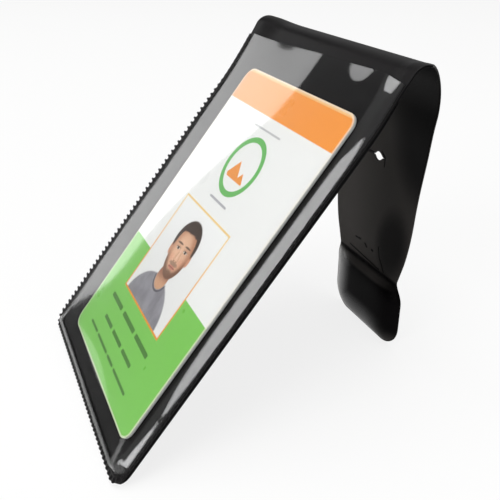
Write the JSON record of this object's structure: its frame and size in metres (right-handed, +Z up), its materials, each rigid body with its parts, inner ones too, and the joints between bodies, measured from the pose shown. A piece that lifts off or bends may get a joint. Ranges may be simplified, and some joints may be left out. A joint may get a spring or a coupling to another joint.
{
  "type": "vertical id badge holder",
  "caption": "Upright soft vinyl badge holder: clear top-loading card pocket on a black panel, a soft bend at the top and a rear tongue with a slot and a magnet tab that goes over a pocket edge.",
  "frame": {"origin": "on the surface it stands on, under the middle of its box, in the pose of the picture: the panel's foot and the tab's lower edge on one surface", "axes": "+X to the right of someone who faces the card, +Y from the panel towards the tongue, +Z up"},
  "size_m": [0.0728, 0.085, 0.083],
  "materials": {
    "black_vinyl": "soft calendered vinyl, satin to glossy, faint grain",
    "clear_film": "clear glossy vinyl film, slightly wavy",
    "printed_card": "white card with a glossy printed face",
    "keeper_steel": "plain thin steel",
    "magnet_plating": "nickel plating"
  },
  "bodies": {
    "panel": {"back_sheet": "black_vinyl", "window": "clear_film", "rear_lining": "black_vinyl", "keeper_plate": "keeper_steel"},
    "card": {"id_card": "printed_card"},
    "bend_1": {"bend_strip_1": "black_vinyl"},
    "bend_2": {"bend_strip_2": "black_vinyl"},
    "tongue": {"tongue": "black_vinyl"},
    "tab": {"tab_back": "black_vinyl", "tab_front": "black_vinyl", "tab_magnet": "magnet_plating"}
  },
  "joints": [
    {"name": "bend_line_1", "type": "hinge", "parent": "panel", "child": "bend_1", "pos_m": [0, 0.02598, 0.08244], "axis": [1, 0, 0], "range_deg": [-15.5, 45]},
    {"name": "bend_line_2", "type": "hinge", "parent": "bend_1", "child": "bend_2", "pos_m": [0, 0.03552, 0.08036], "axis": [1, 0, 0], "range_deg": [-15.5, 45]},
    {"name": "bend_line_3", "type": "hinge", "parent": "bend_2", "child": "tongue", "pos_m": [0, 0.04151, 0.07254], "axis": [1, 0, 0], "range_deg": [-15.5, 45]},
    {"name": "tab_flex", "type": "hinge", "parent": "tongue", "child": "tab", "pos_m": [0, 0.04223, 0.0202], "axis": [1, 0, 0], "range_deg": [-10, 30]},
    {"name": "card_slide", "type": "slide", "parent": "panel", "child": "card", "axis": [0, 0.6347, 0.7727], "range_m": [0, 0.097]}
  ],
  "couplings": [
    {"joint": "bend_line_2", "follows": "bend_line_1", "ratio": 1},
    {"joint": "bend_line_3", "follows": "bend_line_1", "ratio": 1}
  ]
}
